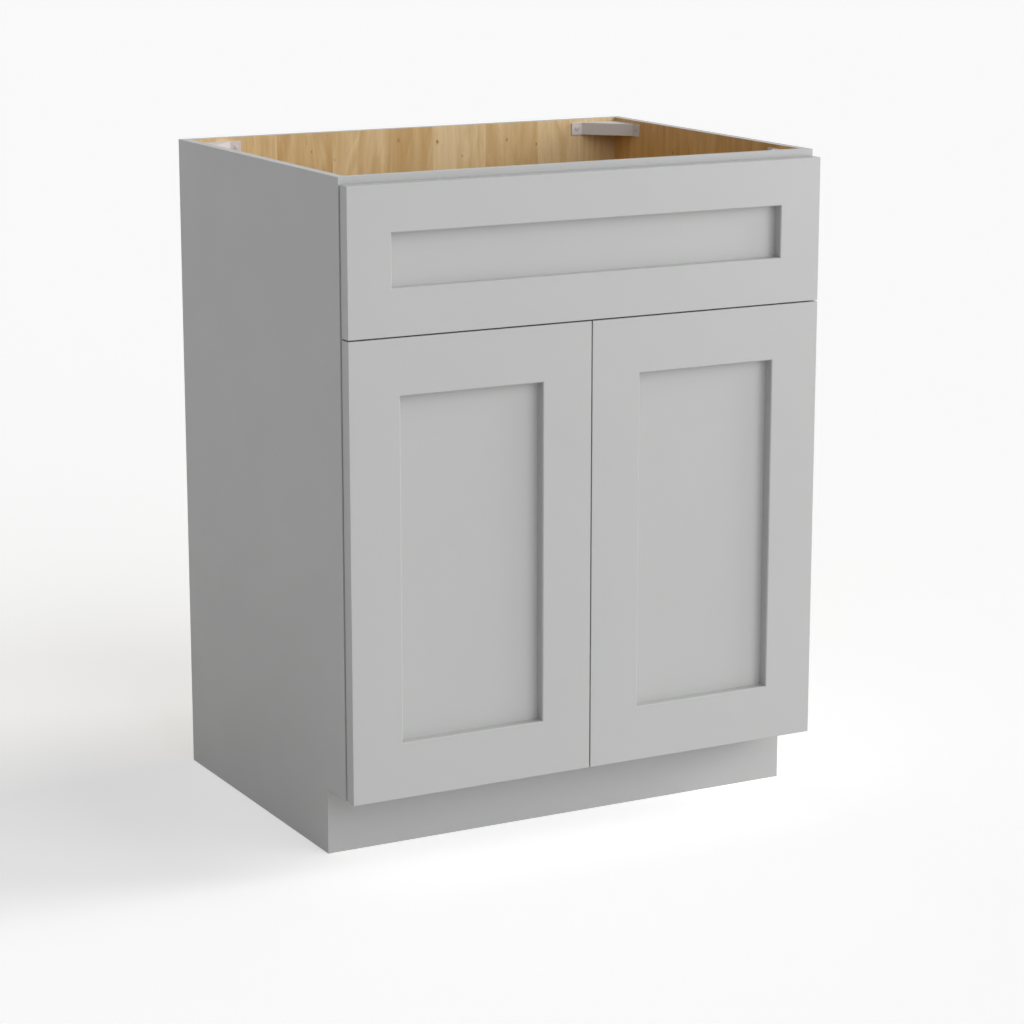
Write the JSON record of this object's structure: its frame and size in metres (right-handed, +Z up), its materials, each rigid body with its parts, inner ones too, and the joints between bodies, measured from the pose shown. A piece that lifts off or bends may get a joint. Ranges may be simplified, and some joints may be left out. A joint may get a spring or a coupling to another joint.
{
  "type": "sink base cabinet",
  "caption": "Open-topped kitchen base cabinet for a sink, with a fixed false drawer front, two overlay doors on concealed cup hinges, corner braces and a recessed toe space.",
  "frame": {"origin": "on the floor, under the middle of the cabinet's bounding box", "axes": "+X to the right seen from the front, +Y from the doors to the wall, +Z up"},
  "size_m": [0.6858, 0.529, 0.8763],
  "materials": {
    "back_panel": "clear satin birch veneer",
    "bottom_panel": "clear satin birch veneer",
    "corner_brace_back_left": "moulded, matt",
    "corner_brace_back_right": "moulded, matt",
    "corner_brace_front_left": "moulded, matt",
    "corner_brace_front_right": "moulded, matt",
    "false_front_bumper_bottom_left": "soft, matt",
    "false_front_bumper_bottom_right": "soft, matt",
    "false_front_bumper_top_left": "soft, matt",
    "false_front_bumper_top_right": "soft, matt",
    "false_front_panel": "satin grey paint",
    "false_front_rail_bottom": "satin grey paint",
    "false_front_rail_top": "satin grey paint",
    "false_front_screw_bottom_left": "zinc plated",
    "false_front_screw_bottom_right": "zinc plated",
    "false_front_screw_top_left": "zinc plated",
    "false_front_screw_top_right": "zinc plated",
    "false_front_stile_left": "satin grey paint",
    "false_front_stile_right": "satin grey paint",
    "left_door_bottom_rail": "satin grey paint",
    "left_door_bumper_bottom": "soft, matt",
    "left_door_bumper_top": "soft, matt",
    "left_door_hinge_stile": "satin grey paint",
    "left_door_lock_stile": "satin grey paint",
    "left_door_panel": "satin grey paint",
    "left_door_top_rail": "satin grey paint",
    "left_hinge_bottom_arm": "nickel plated",
    "left_hinge_bottom_cup": "nickel plated",
    "left_hinge_bottom_mounting_plate": "nickel plated",
    "left_hinge_bottom_pin": "nickel plated",
    "left_hinge_top_arm": "nickel plated",
    "left_hinge_top_cup": "nickel plated",
    "left_hinge_top_mounting_plate": "nickel plated",
    "left_hinge_top_pin": "nickel plated",
    "mid_front_rail": "satin grey paint",
    "right_door_bottom_rail": "satin grey paint",
    "right_door_bumper_bottom": "soft, matt",
    "right_door_bumper_top": "soft, matt",
    "right_door_hinge_stile": "satin grey paint",
    "right_door_lock_stile": "satin grey paint",
    "right_door_panel": "satin grey paint",
    "right_door_top_rail": "satin grey paint",
    "right_hinge_bottom_arm": "nickel plated",
    "right_hinge_bottom_cup": "nickel plated",
    "right_hinge_bottom_mounting_plate": "nickel plated",
    "right_hinge_bottom_pin": "nickel plated",
    "right_hinge_top_arm": "nickel plated",
    "right_hinge_top_cup": "nickel plated",
    "right_hinge_top_mounting_plate": "nickel plated",
    "right_hinge_top_pin": "nickel plated",
    "side_panel_left": "satin grey paint",
    "side_panel_right": "satin grey paint",
    "toe_kick_board": "satin grey paint",
    "top_front_rail": "satin grey paint"
  },
  "bodies": {
    "cabinet_box": {"back_panel": "back_panel", "bottom_panel": "bottom_panel", "corner_brace_back_left": "corner_brace_back_left", "corner_brace_back_right": "corner_brace_back_right", "corner_brace_front_left": "corner_brace_front_left", "corner_brace_front_right": "corner_brace_front_right", "false_front_bumper_bottom_left": "false_front_bumper_bottom_left", "false_front_bumper_bottom_right": "false_front_bumper_bottom_right", "false_front_bumper_top_left": "false_front_bumper_top_left", "false_front_bumper_top_right": "false_front_bumper_top_right", "false_front_panel": "false_front_panel", "false_front_rail_bottom": "false_front_rail_bottom", "false_front_rail_top": "false_front_rail_top", "false_front_screw_bottom_left": "false_front_screw_bottom_left", "false_front_screw_bottom_right": "false_front_screw_bottom_right", "false_front_screw_top_left": "false_front_screw_top_left", "false_front_screw_top_right": "false_front_screw_top_right", "false_front_stile_left": "false_front_stile_left", "false_front_stile_right": "false_front_stile_right", "left_hinge_bottom_arm": "left_hinge_bottom_arm", "left_hinge_bottom_mounting_plate": "left_hinge_bottom_mounting_plate", "left_hinge_top_arm": "left_hinge_top_arm", "left_hinge_top_mounting_plate": "left_hinge_top_mounting_plate", "mid_front_rail": "mid_front_rail", "right_hinge_bottom_arm": "right_hinge_bottom_arm", "right_hinge_bottom_mounting_plate": "right_hinge_bottom_mounting_plate", "right_hinge_top_arm": "right_hinge_top_arm", "right_hinge_top_mounting_plate": "right_hinge_top_mounting_plate", "side_panel_left": "side_panel_left", "side_panel_right": "side_panel_right", "toe_kick_board": "toe_kick_board", "top_front_rail": "top_front_rail"},
    "left_door": {"left_door_bottom_rail": "left_door_bottom_rail", "left_door_bumper_bottom": "left_door_bumper_bottom", "left_door_bumper_top": "left_door_bumper_top", "left_door_hinge_stile": "left_door_hinge_stile", "left_door_lock_stile": "left_door_lock_stile", "left_door_panel": "left_door_panel", "left_door_top_rail": "left_door_top_rail", "left_hinge_bottom_cup": "left_hinge_bottom_cup", "left_hinge_bottom_pin": "left_hinge_bottom_pin", "left_hinge_top_cup": "left_hinge_top_cup", "left_hinge_top_pin": "left_hinge_top_pin"},
    "right_door": {"right_door_bottom_rail": "right_door_bottom_rail", "right_door_bumper_bottom": "right_door_bumper_bottom", "right_door_bumper_top": "right_door_bumper_top", "right_door_hinge_stile": "right_door_hinge_stile", "right_door_lock_stile": "right_door_lock_stile", "right_door_panel": "right_door_panel", "right_door_top_rail": "right_door_top_rail", "right_hinge_bottom_cup": "right_hinge_bottom_cup", "right_hinge_bottom_pin": "right_hinge_bottom_pin", "right_hinge_top_cup": "right_hinge_top_cup", "right_hinge_top_pin": "right_hinge_top_pin"}
  },
  "joints": [
    {"name": "left_door_swing", "type": "hinge", "parent": "cabinet_box", "child": "left_door", "pos_m": [-0.3356, -0.2553, 0.381], "axis": [0, 0, -1], "range_deg": [0, 105]},
    {"name": "right_door_swing", "type": "hinge", "parent": "cabinet_box", "child": "right_door", "pos_m": [0.3356, -0.2553, 0.381], "axis": [0, 0, 1], "range_deg": [0, 105]}
  ]
}
